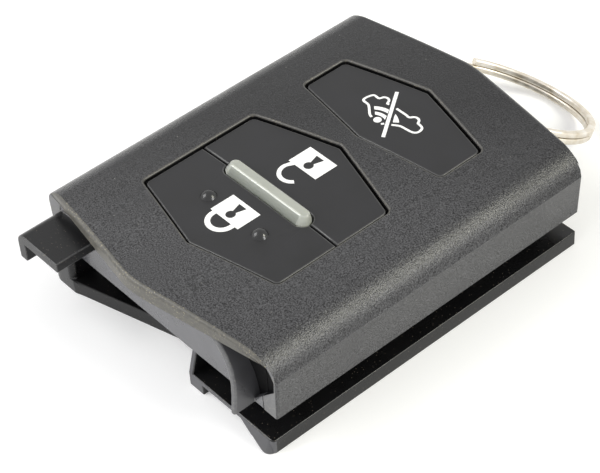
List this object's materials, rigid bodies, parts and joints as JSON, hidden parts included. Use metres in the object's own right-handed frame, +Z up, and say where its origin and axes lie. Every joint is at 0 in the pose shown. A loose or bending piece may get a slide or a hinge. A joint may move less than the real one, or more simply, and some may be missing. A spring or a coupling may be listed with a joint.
{
  "type": "car key fob",
  "caption": "Transmitter half of a folding car key: a charcoal case with lock, unlock and alarm buttons, a light bar, slide slots and hooks for the blade half, and a split key ring.",
  "frame": {"origin": "middle of the base plate's underside, midway between the two end faces of the case", "axes": "+Z up through the buttons, +Y towards the key ring, +X to the right when the ring end points away"},
  "size_m": [0.0378, 0.0651, 0.0138],
  "materials": {
    "case_plastic": "fine-grained charcoal",
    "black_plastic": "glossy black",
    "button_plastic": "smooth satin dark grey",
    "light_guide": "translucent grey",
    "silicone": "matt grey",
    "board": "green solder mask",
    "tinned_steel": "bright",
    "plunger_plastic": "cream",
    "lamp": "clear yellow",
    "chip_plastic": "matt black",
    "ceramic": "matt",
    "ring_steel": "bright, warm"
  },
  "bodies": {
    "case": {"upper_case": "case_plastic", "lower_case": "black_plastic", "light_bar": "light_guide", "keypad_mat": "silicone", "circuit_board": "board", "lock_switch": "tinned_steel", "unlock_switch": "tinned_steel", "alarm_switch": "tinned_steel", "status_led": "lamp", "controller_chip": "chip_plastic", "radio_chip": "chip_plastic", "crystal": "tinned_steel", "resonator": "ceramic", "capacitors": "ceramic", "resistors": "chip_plastic", "inductors": "ceramic", "coin_cell": "tinned_steel", "positive_contact": "tinned_steel", "negative_contact": "tinned_steel", "ring_pin": "tinned_steel"},
    "lock_key": {"lock_button": "button_plastic", "lock_plunger": "plunger_plastic"},
    "unlock_key": {"unlock_button": "button_plastic", "unlock_plunger": "plunger_plastic"},
    "alarm_key": {"alarm_button": "button_plastic", "alarm_plunger": "plunger_plastic"},
    "ring": {"key_ring": "ring_steel"}
  },
  "joints": [
    {"name": "lock_press", "type": "slide", "parent": "case", "child": "lock_key", "axis": [0, 0, -1], "range_m": [0, 0.0005], "stiffness_N_per_m": 2000},
    {"name": "unlock_press", "type": "slide", "parent": "case", "child": "unlock_key", "axis": [0, 0, -1], "range_m": [0, 0.0005], "stiffness_N_per_m": 2000},
    {"name": "alarm_press", "type": "slide", "parent": "case", "child": "alarm_key", "axis": [0, 0, -1], "range_m": [0, 0.0005], "stiffness_N_per_m": 2000},
    {"name": "ring_swing", "type": "hinge", "parent": "case", "child": "ring", "pos_m": [0.0009, 0.02072, 0.01062], "axis": [1, 0, 0], "range_deg": [-30, 30]}
  ]
}
